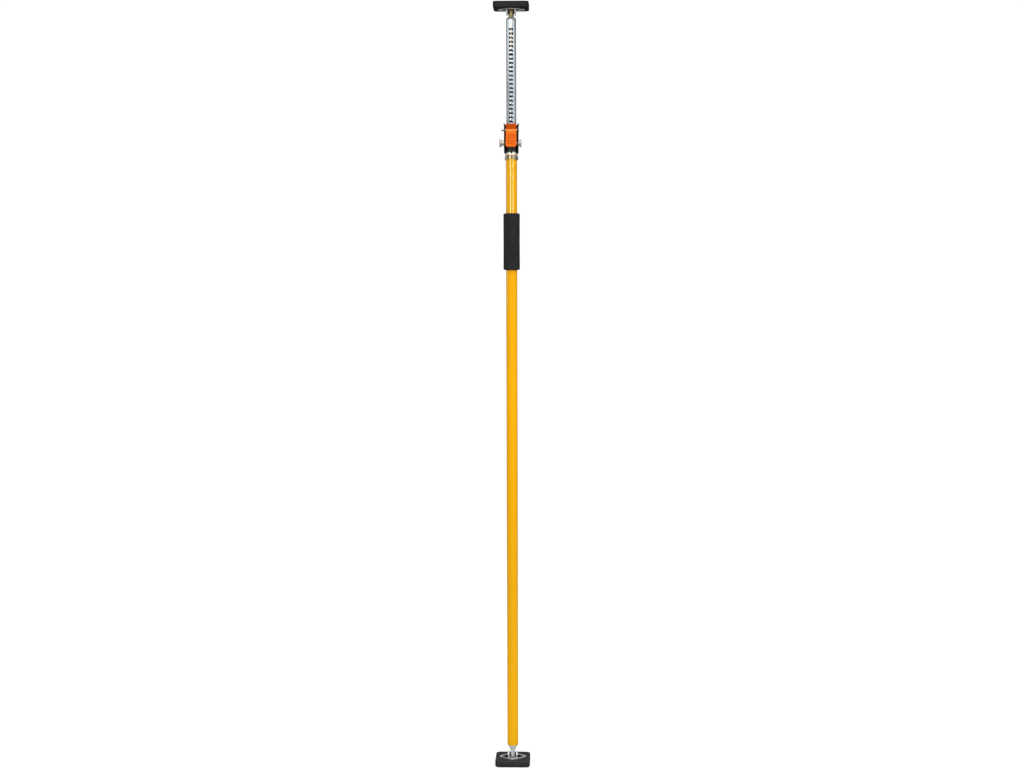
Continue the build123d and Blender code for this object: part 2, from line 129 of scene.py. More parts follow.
def rounded_outline(hx, hz, r, grow, straight_x, straight_z, turn):
    """A rounded rectangle from its lower left corner round to the right. Each
    corner arc has two halves of `turn` steps, one on each of its sides."""
    pts = []
    cx, cz, rr = hx - r, hz - r, r + grow
    corners = [(-cx, -cz, 225.0), (cx, -cz, 315.0), (cx, cz, 45.0), (-cx, cz, 135.0)]
    for k in range(4):
        x0, z0, a0 = corners[k]
        x1, z1, _ = corners[(k + 1) % 4]
        steps = straight_x if k % 2 == 0 else straight_z
        for i in range(turn + 1):
            a = math.radians(a0 + 45.0 * i / turn)
            pts.append((x0 + rr * math.cos(a), z0 + rr * math.sin(a)))
        a = math.radians(a0 + 45.0)
        ox, oz = rr * math.cos(a), rr * math.sin(a)
        for i in range(1, steps + 1):
            t = i / steps
            pts.append((x0 + (x1 - x0) * t + ox, z0 + (z1 - z0) * t + oz))
        for i in range(1, turn):
            a = math.radians(a0 + 45.0 + 45.0 * i / turn)
            pts.append((x1 + rr * math.cos(a), z1 + rr * math.sin(a)))
    return pts


def circle_outline(r, grow, nx, nz):
    pts = []
    for k in range(4):
        n = nx if k % 2 == 0 else nz
        for i in range(n):
            a = math.radians(225.0 + 90.0 * k + 90.0 * i / n)
            pts.append(((r + grow) * math.cos(a), (r + grow) * math.sin(a)))
    return pts


def hole_patch(shell, r_out, r_in, angles, heights, outline, lip):
    """Closes one rectangle of a tube wall round a hole. The hole runs straight
    through the wall; its outer edge is rolled over by `lip`."""
    centre = (angles[0] + angles[-1]) / 2
    z_mid = (heights[0] + heights[-1]) / 2
    frame_pts = (
        [(a, heights[0]) for a in angles[:-1]]
        + [(angles[-1], z) for z in heights[:-1]]
        + [(a, heights[-1]) for a in reversed(angles[1:])]
        + [(angles[0], z) for z in reversed(heights[1:])]
    )

    def loop(grow, r, blend=0.0, mark=0.0):
        ids = []
        for (x, z), (fa, fz) in zip(outline(grow), frame_pts):
            a = centre + math.asin(max(-1.0, min(1.0, x / r)))
            ids.append(
                shell.polar(
                    r,
                    a + (fa - a) * blend,
                    z_mid + z + (fz - z_mid - z) * blend,
                    mark,
                )
            )
        return ids

    rings = [loop(lip, r_out, 1.0)]
    rings.append(loop(lip + 0.15, r_out, 0.35))
    rings.append(loop(lip, r_out, 0.0, 0.35))
    for deg in (30.0, 60.0):
        t = math.radians(deg)
        rings.append(
            loop(lip * (1 - math.sin(t)), r_out - lip * (1 - math.cos(t)), 0.0, 1.0)
        )
    rings.append(loop(0.0, r_out - lip, 0.0, 0.8))
    rings.append(loop(0.0, r_in + 0.15))
    rings.append(loop(0.15, r_in))
    rings.append(loop(0.15, r_in, 1.0))
    for one, two in zip(rings, rings[1:]):
        shell.strip(one, two)


def tube_wall(shell, r_out, r_in, angles, heights, holes, end_round):
    """A tube on +Z. angles close on themselves; holes lists the index ranges
    (first angle, last angle, first height, last height) that are left open."""
    n = len(angles)
    open_cells = set()
    for a0, a1, h0, h1 in holes:
        for i in range(a0, a1):
            for j in range(h0, h1):
                open_cells.add((i % n, j))
    for r in (r_out, r_in):
        grid = [[shell.polar(r, a, z) for a in angles] for z in heights]
        for j in range(len(heights) - 1):
            for i in range(n):
                if (i, j) not in open_cells:
                    k = (i + 1) % n
                    shell.face(grid[j][i], grid[j][k], grid[j + 1][k], grid[j + 1][i])
    # rounded ends
    for z, way in ((heights[0], -1), (heights[-1], 1)):
        loops = [[shell.polar(r_out, a, z) for a in angles]]
        for deg in (30, 60, 90):
            t = math.radians(deg)
            loops.append(
                [
                    shell.polar(
                        r_out - end_round * (1 - math.cos(t)),
                        a,
                        z + way * end_round * math.sin(t),
                        0.6,
                    )
                    for a in angles
                ]
            )
        loops.append(
            [shell.polar(r_in + 0.1, a, z + way * end_round) for a in angles]
        )
        loops.append([shell.polar(r_in, a, z + way * (end_round - 0.1)) for a in angles])
        loops.append([shell.polar(r_in, a, z) for a in angles])
        for one, two in zip(loops, loops[1:]):
            shell.strip(one, two)


def between(a, b, n):
    return [a + (b - a) * i / n for i in range(n)]


def wire(name, path, r, seg=14):
    """A round wire along points in millimetres, with domed ends."""
    pts = [Vector(p) for p in path]
    tang = []
    for i in range(len(pts)):
        a, b = pts[max(i - 1, 0)], pts[min(i + 1, len(pts) - 1)]
        tang.append((b - a).normalized())
    side = tang[0].orthogonal().normalized()
    shell, loops = Shell(), []
    dome = [(0.25, -0.9), (0.7, -0.6), (0.95, -0.25)]
    frames = []
    for i, t in enumerate(tang):
        side = (side - t * side.dot(t)).normalized()
        frames.append((pts[i], t, side.copy(), t.cross(side)))

    def loop(f, scale, slip):
        p, t, u, v = f
        out = []
        for k in range(seg):
            a = 2 * math.pi * k / seg
            q = p + t * (slip * r) + (u * math.cos(a) + v * math.sin(a)) * (r * scale)
            out.append(shell.at(*q))
        return out

    loops += [loop(frames[0], s, d) for s, d in dome]
    loops += [loop(f, 1.0, 0.0) for f in frames]
    loops += [loop(frames[-1], s, -d) for s, d in reversed(dome)]
    for one, two in zip(loops, loops[1:]):
        shell.strip(one, two)
    shell.face(*loops[0])
    shell.face(*loops[-1])
    return shell.make(name)


# ------------------------------------------------------------------- materials
class Look:
    """A node material with small helpers. Coordinates are the piece's own, in metres."""

    def __init__(self, name):
        self.mat = bpy.data.materials.new("look_" + name)
        self.mat.use_nodes = True
        self.tree = self.mat.node_tree
        self.tree.nodes.clear()
        self.out = self.new("ShaderNodeOutputMaterial")
        self.bsdf = self.new("ShaderNodeBsdfPrincipled")
        self.tree.links.new(self.bsdf.outputs[0], self.out.inputs[0])
        self.place = self.new("ShaderNodeTexCoord").outputs["Object"]

    def new(self, kind):
        return self.tree.nodes.new(kind)

    def put(self, socket, value):
        if isinstance(value, bpy.types.NodeSocket):
            self.tree.links.new(value, socket)
        elif isinstance(value, tuple) and len(value) == 3 and socket.type == "RGBA":
            socket.default_value = (*value, 1.0)
        else:
            socket.default_value = value

    def set(self, **values):
        for key, value in values.items():
            self.put(self.bsdf.inputs[key.replace("_", " ")], value)

    def stretched(self, stretch):
        if stretch == (1, 1, 1):
            return self.place
        m = self.new("ShaderNodeMapping")
        m.inputs["Scale"].default_value = stretch
        self.put(m.inputs["Vector"], self.place)
        return m.outputs["Vector"]

    def noise(self, scale, stretch=(1, 1, 1), detail=3.0, rough=0.55, bend=0.0):
        n = self.new("ShaderNodeTexNoise")
        self.put(n.inputs["Vector"], self.stretched(stretch))
        self.put(n.inputs["Scale"], scale)
        self.put(n.inputs["Detail"], detail)
        self.put(n.inputs["Roughness"], rough)
        self.put(n.inputs["Distortion"], bend)
        return n.outputs[0]

    def cells(self, scale, stretch=(1, 1, 1), feature="F1"):
        n = self.new("ShaderNodeTexVoronoi")
        n.feature = feature
        self.put(n.inputs["Vector"], self.stretched(stretch))
        self.put(n.inputs["Scale"], scale)
        return n.outputs["Distance"]

    def span(self, value, lo, hi, to_lo=0.0, to_hi=1.0, smooth=False):
        n = self.new("ShaderNodeMapRange")
        n.interpolation_type = "SMOOTHSTEP" if smooth else "LINEAR"
        for k, v in zip(("Value", "From Min", "From Max", "To Min", "To Max"), (value, lo, hi, to_lo, to_hi)):
            self.put(n.inputs[k], v)
        return n.outputs["Result"]

    def mix(self, fac, a, b, blend="MIX"):
        n = self.new("ShaderNodeMix")
        n.data_type, n.blend_type = "RGBA", blend
        self.put(n.inputs[0], fac)
        self.put(n.inputs[6], a)
        self.put(n.inputs[7], b)
        return n.outputs[2]

    def ramp(self, fac, *stops):
        n = self.new("ShaderNodeValToRGB")
        e = n.color_ramp.elements
        while len(e) < len(stops):
            e.new(0.5)
        for k, (pos, col) in enumerate(stops):
            e[k].position, e[k].color = pos, (*col, 1.0)
        self.put(n.inputs[0], fac)
        return n.outputs[0]

    def math(self, op, a, b=0.0):
        n = self.new("ShaderNodeMath")
        n.operation = op
        self.put(n.inputs[0], a)
        self.put(n.inputs[1], b)
        return n.outputs[0]

    def height(self):
        n = self.new("ShaderNodeSeparateXYZ")
        self.put(n.inputs[0], self.place)
        return n.outputs["Z"]

    def depth(self):
        n = self.new("ShaderNodeSeparateXYZ")
        self.put(n.inputs[0], self.place)
        return n.outputs["Y"]

    def attribute(self, name):
        n = self.new("ShaderNodeAttribute")
        n.attribute_name = name
        return n.outputs["Fac"]

    def edges(self, radius, lo=0.02, hi=0.25):
        """1 along convex and concave edges, 0 on open faces."""
        b = self.new("ShaderNodeBevel")
        b.samples = 6
        b.inputs["Radius"].default_value = radius
        g = self.new("ShaderNodeNewGeometry")
        d = self.new("ShaderNodeVectorMath")
        d.operation = "DOT_PRODUCT"
        self.put(d.inputs[0], b.outputs[0])
        self.put(d.inputs[1], g.outputs["Normal"])
        return self.span(self.math("SUBTRACT", 1.0, d.outputs["Value"]), lo, hi)

    def hollows(self, distance):
        """1 in tight corners, 0 in the open."""
        n = self.new("ShaderNodeAmbientOcclusion")
        n.samples = 6
        n.inputs["Distance"].default_value = distance
        return self.span(n.outputs["AO"], 0.25, 0.9, 1.0, 0.0)

    def bump(self, height, strength, distance, below=None):
        n = self.new("ShaderNodeBump")
        self.put(n.inputs["Strength"], strength)
        self.put(n.inputs["Distance"], distance)
        self.put(n.inputs["Height"], height)
        if below is not None:
            self.put(n.inputs["Normal"], below)
        return n.outputs[0]


LOOKS = {}


def look(slot):
    made = Look(slot)
    LOOKS[slot] = made.mat
    return made


# yellow enamel on steel tube
m = look("yellow_coat")
patch = m.noise(9.0, (1, 1, 0.35), 3.0, 0.6)
base = m.mix(m.span(patch, 0.35, 0.65), (0.92, 0.435, 0.002), (0.87, 0.405, 0.002))
# painted shade: the yellow darkens towards the foot, fully below 0.40 m and fading out by 0.85 m
base = m.mix(m.span(m.height(), 0.40, 0.85, 1.0, 0.0, smooth=True), base, (0.77, 0.375, 0.002))
# painted shade: the yellow is a little deeper above the grip, from 1.18 m up
base = m.mix(m.span(m.height(), 1.18, 1.27, 0.0, 1.0, smooth=True), base, (0.84, 0.400, 0.001))
rub = m.span(m.noise(1.0, (260, 260, 16), 4.0, 0.65), 0.62, 0.74)
scuff = m.math("MULTIPLY", rub, m.span(m.noise(14.0, (1, 1, 0.6), 2.0), 0.52, 0.66))
base = m.mix(m.math("MULTIPLY", scuff, 0.4), base, (0.86, 0.48, 0.03))
speck = m.span(m.cells(210.0), 0.035, 0.055, 1.0, 0.0)
speck = m.math("MULTIPLY", speck, m.span(m.noise(40.0), 0.55, 0.6))
base = m.mix(m.math("MULTIPLY", speck, 0.7), base, (0.22, 0.10, 0.01))
bare = m.math("MULTIPLY", m.attribute("worn_edge"), m.span(m.noise(900.0), 0.5, 0.62))
base = m.mix(bare, base, (0.42, 0.42, 0.40))
peel = m.noise(430.0, (1, 1, 1), 2.0, 0.5)
m.set(
    Base_Color=base,
    Roughness=m.math("ADD", m.span(patch, 0.3, 0.7, 0.18, 0.26), m.math("MULTIPLY", scuff, 0.22)),
    Normal=m.bump(peel, 0.10, 0.00035),
    Specular_IOR_Level=0.05,
    Coat_Weight=1.0,
    Coat_Roughness=0.06,
)

# drawn, zinc-plated tube
m = look("zinc_tube")
draw = m.noise(1.0, (900, 900, 7), 4.0, 0.6)
cloud = m.noise(55.0, (1, 1, 0.45), 4.0, 0.6)
base = m.mix(m.span(cloud, 0.32, 0.68), (0.46, 0.505, 0.54), (0.56, 0.605, 0.635))
base = m.mix(m.span(draw, 0.3, 0.75, 0.0, 0.3), base, (0.66, 0.69, 0.71))
stain = m.math("MULTIPLY", m.span(m.noise(120.0, (1, 1, 0.3), 5.0, 0.7), 0.58, 0.72), 0.3)
base = m.mix(stain, base, (0.30, 0.325, 0.35))
worn = m.attribute("worn_edge")
base = m.mix(m.math("MULTIPLY", worn, 0.4), base, (0.74, 0.755, 0.76))
# painted shade: the zinc darkens where it is occluded, inside the tube and round the slots
hollow_shade = m.hollows(0.012)
base = m.mix(m.math("MULTIPLY", hollow_shade, 0.5), base, (0.10, 0.105, 0.11))
rough = m.span(m.math("ADD", m.math("MULTIPLY", cloud, 0.6), m.math("MULTIPLY", draw, 0.4)), 0.3, 0.7, 0.13, 0.23)
m.set(
    Base_Color=base,
    Metallic=0.6,
    Roughness=m.math("SUBTRACT", rough, m.math("MULTIPLY", worn, 0.05)),
    Normal=m.bump(draw, 0.05, 0.00008, m.bump(cloud, 0.03, 0.0006)),
)

# closed-cell foam of the hand grip
m = look("grip_foam")
cell = m.cells(520.0)
fine = m.noise(2400.0, (1, 1, 1), 3.0, 0.6)
wide = m.noise(38.0, (1, 1, 0.6), 3.0)
base = m.mix(m.span(fine, 0.3, 0.7), (0.0085, 0.0079, 0.0098), (0.0195, 0.0188, 0.0216))
base = m.mix(m.span(wide, 0.4, 0.75, 0.0, 0.5), base, (0.028, 0.0275, 0.029))
dust = m.math("MULTIPLY", m.span(m.noise(620.0, (1, 1, 1), 2.0), 0.66, 0.72), 0.3)
base = m.mix(dust, base, (0.10, 0.098, 0.096))
m.set(
    Base_Color=base,
    Roughness=m.span(fine, 0.3, 0.7, 0.78, 0.95),
    Normal=m.bump(fine, 0.5, 0.00016, m.bump(cell, 0.7, 0.00045)),
    Specular_IOR_Level=0.25,
    Sheen_Weight=0.01,
    Sheen_Roughness=0.55,
)

# moulded rubber of the pads
m = look("pad_rubber")
grain = m.noise(1500.0, (1, 1, 1), 2.0, 0.5)
wide = m.noise(70.0, (1, 1, 1), 4.0, 0.62)
base = m.mix(m.span(wide, 0.35, 0.7), (0.0205, 0.0192, 0.0196), (0.0345, 0.0327, 0.0327))
base = m.mix(m.math("MULTIPLY", m.span(m.noise(2600.0), 0.60, 0.70), 0.5), base, (0.09, 0.086, 0.083))
# lighter grey edges: partly scuffed wear, partly a painted highlight on the pocket rims
rim = m.edges(0.0009)
base = m.mix(m.math("MULTIPLY", rim, m.span(m.noise(260.0), 0.4, 0.7, 0.1, 0.6)), base, (0.12, 0.115, 0.11))
# painted shade: near black in the pockets, recesses and tight corners of the pads
base = m.mix(m.math("MULTIPLY", m.math("MAXIMUM", m.hollows(0.022), m.hollows(0.004)), 0.9), base, (0.004, 0.0037, 0.0037))
# painted shade, not cleanliness: the rubber darkens with height, so the head pad is darker than the foot pad
clean = m.span(m.height(), 0.1, 1.2, 0.0, 0.82)
base = m.mix(clean, base, (0.003, 0.003, 0.0036))
m.set(
    Base_Color=base,
    Roughness=m.span(wide, 0.3, 0.7, 0.55, 0.72),
    Normal=m.bump(grain, 0.28, 0.00022),
    Specular_IOR_Level=0.28,
)

# black coated lock head
m = look("black_coat")
grain = m.noise(1300.0, (1, 1, 1), 2.0, 0.5)
wide = m.noise(120.0, (1, 1, 1), 4.0, 0.6)
base = m.mix(m.span(wide, 0.35, 0.7), (0.0045, 0.0043, 0.0047), (0.010, 0.0096, 0.0102))
rim = m.math("MULTIPLY", m.edges(0.0006), m.span(m.noise(420.0, (1, 1, 1), 4.0, 0.7), 0.42, 0.66))
base = m.mix(m.math("MULTIPLY", rim, 0.8), base, (0.15, 0.148, 0.145))
m.set(
    Base_Color=base,
    Roughness=m.math("ADD", m.span(wide, 0.3, 0.7, 0.28, 0.42), m.math("MULTIPLY", rim, 0.1)),
    Normal=m.bump(grain, 0.16, 0.00016),
    Specular_IOR_Level=0.25,
    Coat_Weight=0.06,
    Coat_Roughness=0.2,
)

# moulded orange lever
m = look("orange_nylon")
grain = m.noise(1900.0, (1, 1, 1), 2.0, 0.5)
wide = m.noise(90.0, (1, 1, 1), 3.0, 0.6)
base = m.mix(m.span(wide, 0.35, 0.7), (0.80, 0.138, 0.002), (0.73, 0.118, 0.0015))
rim = m.edges(0.0008)
base = m.mix(m.math("MULTIPLY", rim, m.span(m.noise(330.0), 0.35, 0.7, 0.15, 0.5)), base, (0.94, 0.26, 0.008))
# painted shade: dark orange in the tight corners and recesses of the lever
crevice_shade = m.math("MULTIPLY", m.hollows(0.0035), m.span(m.noise(300.0), 0.3, 0.7, 0.25, 0.6))
base = m.mix(crevice_shade, base, (0.22, 0.030, 0.002))
# painted shade: the lever's upper arm darkens above about 1.437 m, where the arm lies in shade
arm_shade = m.span(m.math("ADD", m.height(), m.math("MULTIPLY", m.noise(220.0), 0.004)), 1.4372, 1.4398, 0.0, 0.6)
base = m.mix(arm_shade, base, (0.36, 0.036, 0.001))
# painted highlight: a light orange band along the top of the ridge bead
ridge_highlight = m.math("MULTIPLY", m.span(m.height(), 1.4326, 1.4337), m.span(m.height(), 1.4364, 1.4370, 1.0, 0.0))
ridge_highlight = m.math("MULTIPLY", ridge_highlight, m.span(m.depth(), -0.0214, -0.0222))
ridge_highlight = m.math("MULTIPLY", ridge_highlight, m.span(m.noise(260.0), 0.3, 0.6, 0.6, 0.9))
base = m.mix(ridge_highlight, base, (0.97, 0.41, 0.075))
hair = m.span(m.noise(1.0, (500, 1600, 60), 3.0, 0.6), 0.68, 0.76, 0.0, 0.2)
base = m.mix(hair, base, (0.90, 0.25, 0.01))
m.set(
    Base_Color=base,
    Roughness=m.span(wide, 0.3, 0.7, 0.34, 0.46),
    Normal=m.bump(grain, 0.14, 0.00015),
    Specular_IOR_Level=0.1,
)

# bright chrome collar
m = look("collar_chrome")
turn = m.noise(1.0, (40, 40, 2600), 3.0, 0.6)
smear = m.noise(95.0, (1, 1, 1), 4.0, 0.65)
base = m.mix(m.span(smear, 0.35, 0.7), (0.80, 0.755, 0.66), (0.90, 0.865, 0.77))
# painted reflection: the lower band is warm gold at its front, in place of reflected yellow and orange; elsewhere
# it keeps its own steel grey
low = m.mix(m.span(m.depth(), -0.0128, -0.0144), (0.33, 0.315, 0.295), (0.26, 0.21, 0.125))
base = m.mix(m.span(m.height(), 1.3796, 1.3814, 0.9, 0.0), base, low)
# painted shade: darker brown in the tight corners of the collar
base = m.mix(m.math("MULTIPLY", m.hollows(0.003), 0.7), base, (0.20, 0.18, 0.14))
m.set(
    Base_Color=base,
    Metallic=m.span(m.height(), 1.3796, 1.3814, 0.70, 0.55),
    Roughness=m.math("ADD", m.span(smear, 0.3, 0.75, 0.10, 0.20), m.span(m.height(), 1.3796, 1.3814, 0.0, 0.18)),
    Normal=m.bump(turn, 0.07, 0.00006),
)


def plated(slot, dark, light, stain, rough, stretch=(1, 1, 1), tint=None, metal=1.0):
    """Plated steel: clouds, fine lines, stains, bright edges and painted shade in tight corners."""
    m = look(slot)
    cloud = m.noise(150.0, (1, 1, 1), 4.0, 0.62)
    line = m.noise(700.0, stretch, 3.0, 0.6)
    base = m.mix(m.span(cloud, 0.33, 0.68), dark, light)
    if tint:
        hue = m.noise(85.0, (1, 1, 0.6), 3.0, 0.55, 0.6)
        base = m.mix(0.55, base, m.ramp(hue, *tint))
    base = m.mix(m.math("MULTIPLY", m.span(m.noise(420.0, (1, 1, 1), 4.0, 0.7), 0.6, 0.74), 0.45), base, stain)
    rim = m.edges(0.0006)
    base = m.mix(m.math("MULTIPLY", rim, 0.5), base, tuple(min(1.0, c * 1.12 + 0.06) for c in light))
    # painted shade: a darkened stain colour in tight corners
    base = m.mix(m.math("MULTIPLY", m.hollows(0.004), 0.6), base, tuple(c * 0.5 for c in stain))
    m.set(
        Base_Color=base,
        Metallic=metal,
        Roughness=m.span(cloud, 0.3, 0.7, rough[0], rough[1]),
        Normal=m.bump(line, 0.10, 0.00008, m.bump(cloud, 0.05, 0.0004)),
    )
    return m


plated("zinc_plate", (0.70, 0.73, 0.735), (0.84, 0.865, 0.865), (0.46, 0.47, 0.47), (0.28, 0.42), (1, 1, 0.12), metal=0.38)
m = plated("zinc_rim", (0.80, 0.78, 0.75), (0.92, 0.905, 0.875), (0.50, 0.48, 0.45), (0.20, 0.32), metal=0.35)
# painted shade: each pad ring is near black except its lip, the foot ring above 14.2 mm and the head ring below
# 1700.3 mm
lip = m.math("MULTIPLY", m.span(m.height(), 0.0130, 0.0142), m.span(m.height(), 1.7003, 1.7015, 1.0, 0.0))
lip = m.math("MULTIPLY", lip, m.span(m.noise(160.0), 0.3, 0.65, 0.75, 1.0))
bright = m.bsdf.inputs["Base Color"].links[0].from_socket
m.set(Base_Color=m.mix(lip, (0.035, 0.033, 0.032), bright))
plated("plain_steel", (0.50, 0.50, 0.50), (0.64, 0.64, 0.64), (0.28, 0.27, 0.26), (0.26, 0.40), (0.2, 1, 1))
plated("nickel_plate", (0.57, 0.52, 0.445), (0.69, 0.64, 0.56), (0.36, 0.32, 0.27), (0.26, 0.40), (0.3, 1, 1), metal=0.5)
plated(
    "gold_zinc",
    (0.24, 0.18, 0.075),
    (0.33, 0.25, 0.115),
    (0.14, 0.105, 0.05),
    (0.24, 0.38),
    (1, 1, 0.15),
    tint=((0.30, (0.24, 0.225, 0.11)), (0.48, (0.38, 0.28, 0.11)), (0.62, (0.35, 0.23, 0.125)), (0.74, (0.27, 0.23, 0.17))),
    metal=0.6,
)

# black nylon bushes and washers
m = look("black_nylon")
wide = m.noise(160.0, (1, 1, 1), 4.0, 0.6)
base = m.mix(m.span(wide, 0.35, 0.7), (0.011, 0.011, 0.0115), (0.024, 0.024, 0.025))
base = m.mix(m.math("MULTIPLY", m.edges(0.0004), 0.4), base, (0.07, 0.07, 0.07))
m.set(
    Base_Color=base,
    Roughness=m.span(wide, 0.3, 0.7, 0.42, 0.58),
    Normal=m.bump(m.noise(1700.0, (1, 1, 1), 2.0), 0.12, 0.00015),
)

for sub in frame["record"]["subparts"]:
    node = NODES[sub["node"]]
    for k in range(len(node.material_slots)):
        node.material_slots[k].material = LOOKS[sub["material_slot"]]


def finish_piece(ob, slot, body, *nodes):
    ob.data.materials.append(LOOKS[slot])
    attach(ob, body)
    if nodes:
        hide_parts(*nodes)
    return ob


# -------------------------------------------------------------- coated outer tube
shell = Shell()
ANG = [2 * math.pi * i / 96 for i in range(96)]
END = 0.45
z_lines = [TUBE_Z0 + END] + between(48.0, 60.0, 2) + between(60.0, 68.0, 6)
z_lines += between(68.0, 1386.0, 66) + [1386.0, TUBE_Z1 - END]
h0, h1 = z_lines.index(60.0), z_lines.index(68.0)
tube_wall(shell, TUBE_R, TUBE_BORE, ANG, z_lines, [(-4, 4, h0, h1), (44, 52, h0, h1)], END)
for mid in (0, 48):
    hole_patch(
        shell,
        TUBE_R,
        TUBE_BORE,
        [2 * math.pi * (mid + i) / 96 for i in range(-4, 5)],
        z_lines[h0 : h1 + 1],
        lambda grow: circle_outline(PIN_HOLE_R, grow, 8, 6),
        0.25,
    )
finish_piece(shell.make("coated_tube", 50), "yellow_coat", "outer", "outer_tube")

# ---------------------------------------------------------- perforated inner tube
shell = Shell()
FRONT = math.radians(36.0)
front = [-math.pi / 2 + a for a in between(-FRONT, FRONT, 12)]
rest = [-math.pi / 2 + FRONT + a for a in between(0.0, 2 * math.pi - 2 * FRONT, 40)]
ANG = front + rest
z_lines = [INNER_Z0 + 0.35]
low = SLOT_TOP - (SLOT_COUNT - 0.5) * PITCH
z_lines += between(346.0, low, 12)
holes = []
for k in range(SLOT_COUNT):
    z0 = low + k * PITCH
    holes.append((0, 12, len(z_lines), len(z_lines) + 5))
    z_lines += between(z0, z0 + PITCH, 5)
top = low + SLOT_COUNT * PITCH
z_lines += [top]
p0 = len(z_lines)
z_lines += between(STEM_PIN_Z - 3.6, STEM_PIN_Z + 3.6, 4) + [STEM_PIN_Z + 3.6, INNER_Z1 - 0.35]
pins = [(12 + 5, 12 + 10), (12 + 30, 12 + 35)]
tube_wall(
    shell,
    INNER_R,
    INNER_BORE,
    ANG,
    z_lines,
    holes + [(a0, a1, p0, p0 + 4) for a0, a1 in pins],
    0.35,
)
for _, _, h0, h1 in holes:
    hole_patch(
        shell,
        INNER_R,
        INNER_BORE,
        ANG[:13],
        z_lines[h0 : h1 + 1],
        lambda grow: rounded_outline(SLOT_W / 2, SLOT_H / 2, SLOT_R, grow, 8, 1, 2),
        0.2,
    )
for a0, a1 in pins:
    hole_patch(
        shell,
        INNER_R,
        INNER_BORE,
        ANG[a0 : a1 + 1],
        z_lines[p0 : p0 + 5],
        lambda grow: circle_outline(PIN_HOLE_R, grow, 5, 4),
        0.2,
    )
finish_piece(shell.make("perforated_tube", 50), "zinc_tube", "inner", "inner_tube")

# ------------------------------------------------------------------- foam grip
shell = Shell()
SEG = 144
R_END = 3.2
profile = [(TUBE_R + 0.03, GRIP_Z0 + 1.2), (TUBE_R + 0.35, GRIP_Z0 + 0.35), (TUBE_R + 1.2, GRIP_Z0 + 0.05)]
profile += [(TUBE_R + 2.2, GRIP_Z0), (GRIP_R - R_END - 0.4, GRIP_Z0)]
for i in range(9):
    t = math.radians(90.0 * i / 8)
    profile.append((GRIP_R - R_END + R_END * math.sin(t), GRIP_Z0 + R_END - R_END * math.cos(t)))
rows = 132
for i in range(1, rows):
    profile.append((GRIP_R, GRIP_Z0 + R_END + (GRIP_Z1 - GRIP_Z0 - 2 * R_END) * i / rows))
half = [(r, GRIP_Z0 + GRIP_Z1 - z) for r, z in profile[: 5 + 9]]
profile += list(reversed(half))
loops = []
for r, z in profile:
    loop = []
    for k in range(SEG):
        a = 2 * math.pi * k / SEG
        c, s = math.cos(a), math.sin(a)
        skin = max(0.0, min(1.0, (r - TUBE_R - 1.0) / 4.0))
        p = Vector((c * 18.5, s * 18.5, z))
        slow = noise.noise(p * 0.035) + 0.5 * noise.noise(p * 0.09 + Vector((7.0, 0, 0)))
        lump = noise.noise(p * 0.42) + 0.6 * noise.noise(p * 0.95 + Vector((0, 3.0, 0)))
        # the sleeve is a little slimmer at its middle, where hands hold it
        waist = 0.16 * math.cos(math.pi * (z - GRIP_Z0) / (GRIP_Z1 - GRIP_Z0) * 2 - math.pi)
        rr = r + skin * (-0.22 + 0.14 * slow + 0.06 * lump - waist * 0.5)
        loop.append(shell.at(rr * c, rr * s, z))
    loops.append(loop)
for one, two in zip(loops, loops[1:]):
    shell.strip(one, two)
shell.strip(loops[-1], loops[0])
grip = finish_piece(shell.make("foam_sleeve"), "grip_foam", "outer", "foam_grip")

# ---------------------------------------------------------------- lever spring
la = math.radians(COIL_LEAVE)
full = COIL_TURNS * 2 * math.pi + la


def coil_point(phi):
    return (
        -COIL_L / 2 + COIL_L * phi / full,
        LEVER_Y - COIL_R * math.cos(phi),
        LEVER_Z + COIL_R * math.sin(phi),
    )


first = coil_point(0.0)
stop = COIL_TURNS * 2 * math.pi + math.radians(186.0)
path = [
    (first[0], LEG_A_Y + (first[1] - LEG_A_Y) * t, LEG_A_Z + (first[2] - LEG_A_Z) * t)
    for t in [i / 24 for i in range(24)]
]
steps = 260
path += [coil_point(stop * i / steps) for i in range(steps + 1)]
coil = finish_piece(wire("spring_coil", path, WIRE_R), "plain_steel", "outer", "lever_spring")
start = COIL_TURNS * 2 * math.pi + math.radians(181.0)
path = [coil_point(start + (full - start) * i / 8) for i in range(9)]
last = path[-1]
path += [
    (last[0], last[1] + (LEG_B_Y - last[1]) * t, last[2] + (LEG_B_Z - last[2]) * t)
    for t in [i / 20 for i in range(1, 21)]
]
finish_piece(wire("spring_leg", path, WIRE_R - 0.003), "plain_steel", "lever", "lever_spring")


